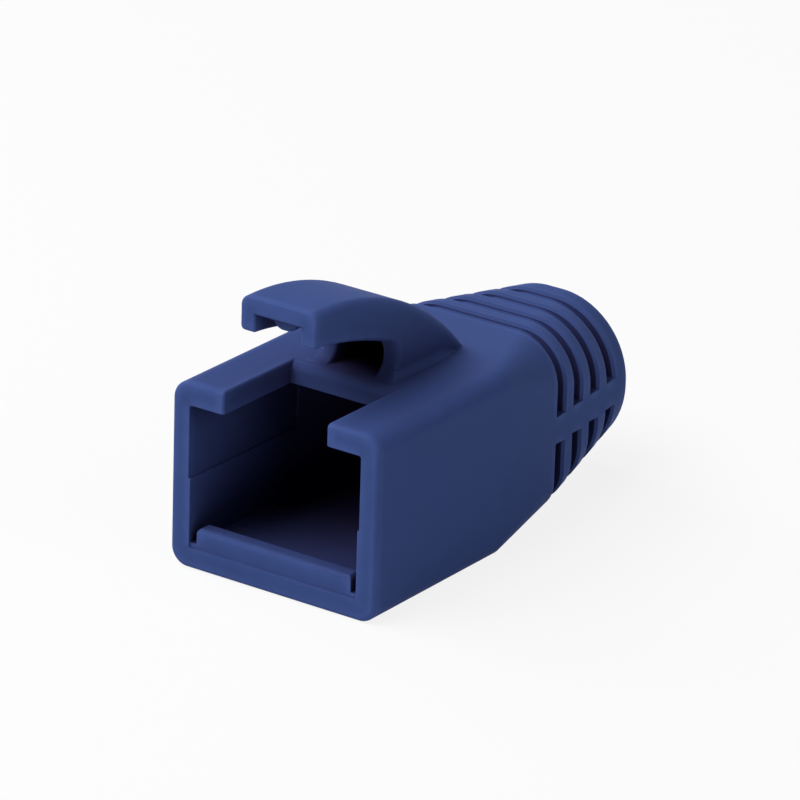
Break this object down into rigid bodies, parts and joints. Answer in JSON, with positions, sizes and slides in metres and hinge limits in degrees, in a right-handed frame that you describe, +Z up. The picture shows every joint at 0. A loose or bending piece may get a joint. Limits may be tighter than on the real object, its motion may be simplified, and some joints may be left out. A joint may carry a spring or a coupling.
{
  "type": "rj45 strain relief boot",
  "caption": "One-piece moulded cable boot: box-shaped mouth for a modular plug, arched hood over the latch, ringed flexible collar round the cable.",
  "frame": {"origin": "middle of the flat underside, under the centre of the overall box", "axes": "+Y runs from the plug mouth to the cable end, along the cable; +Z points up through the slotted deck and the hood; X runs across"},
  "size_m": [0.0146, 0.0286, 0.0178],
  "materials": {
    "soft_plastic": "satin, as moulded"
  },
  "bodies": {
    "root": {"strain_relief_boot": "soft_plastic"}
  },
  "joints": []
}
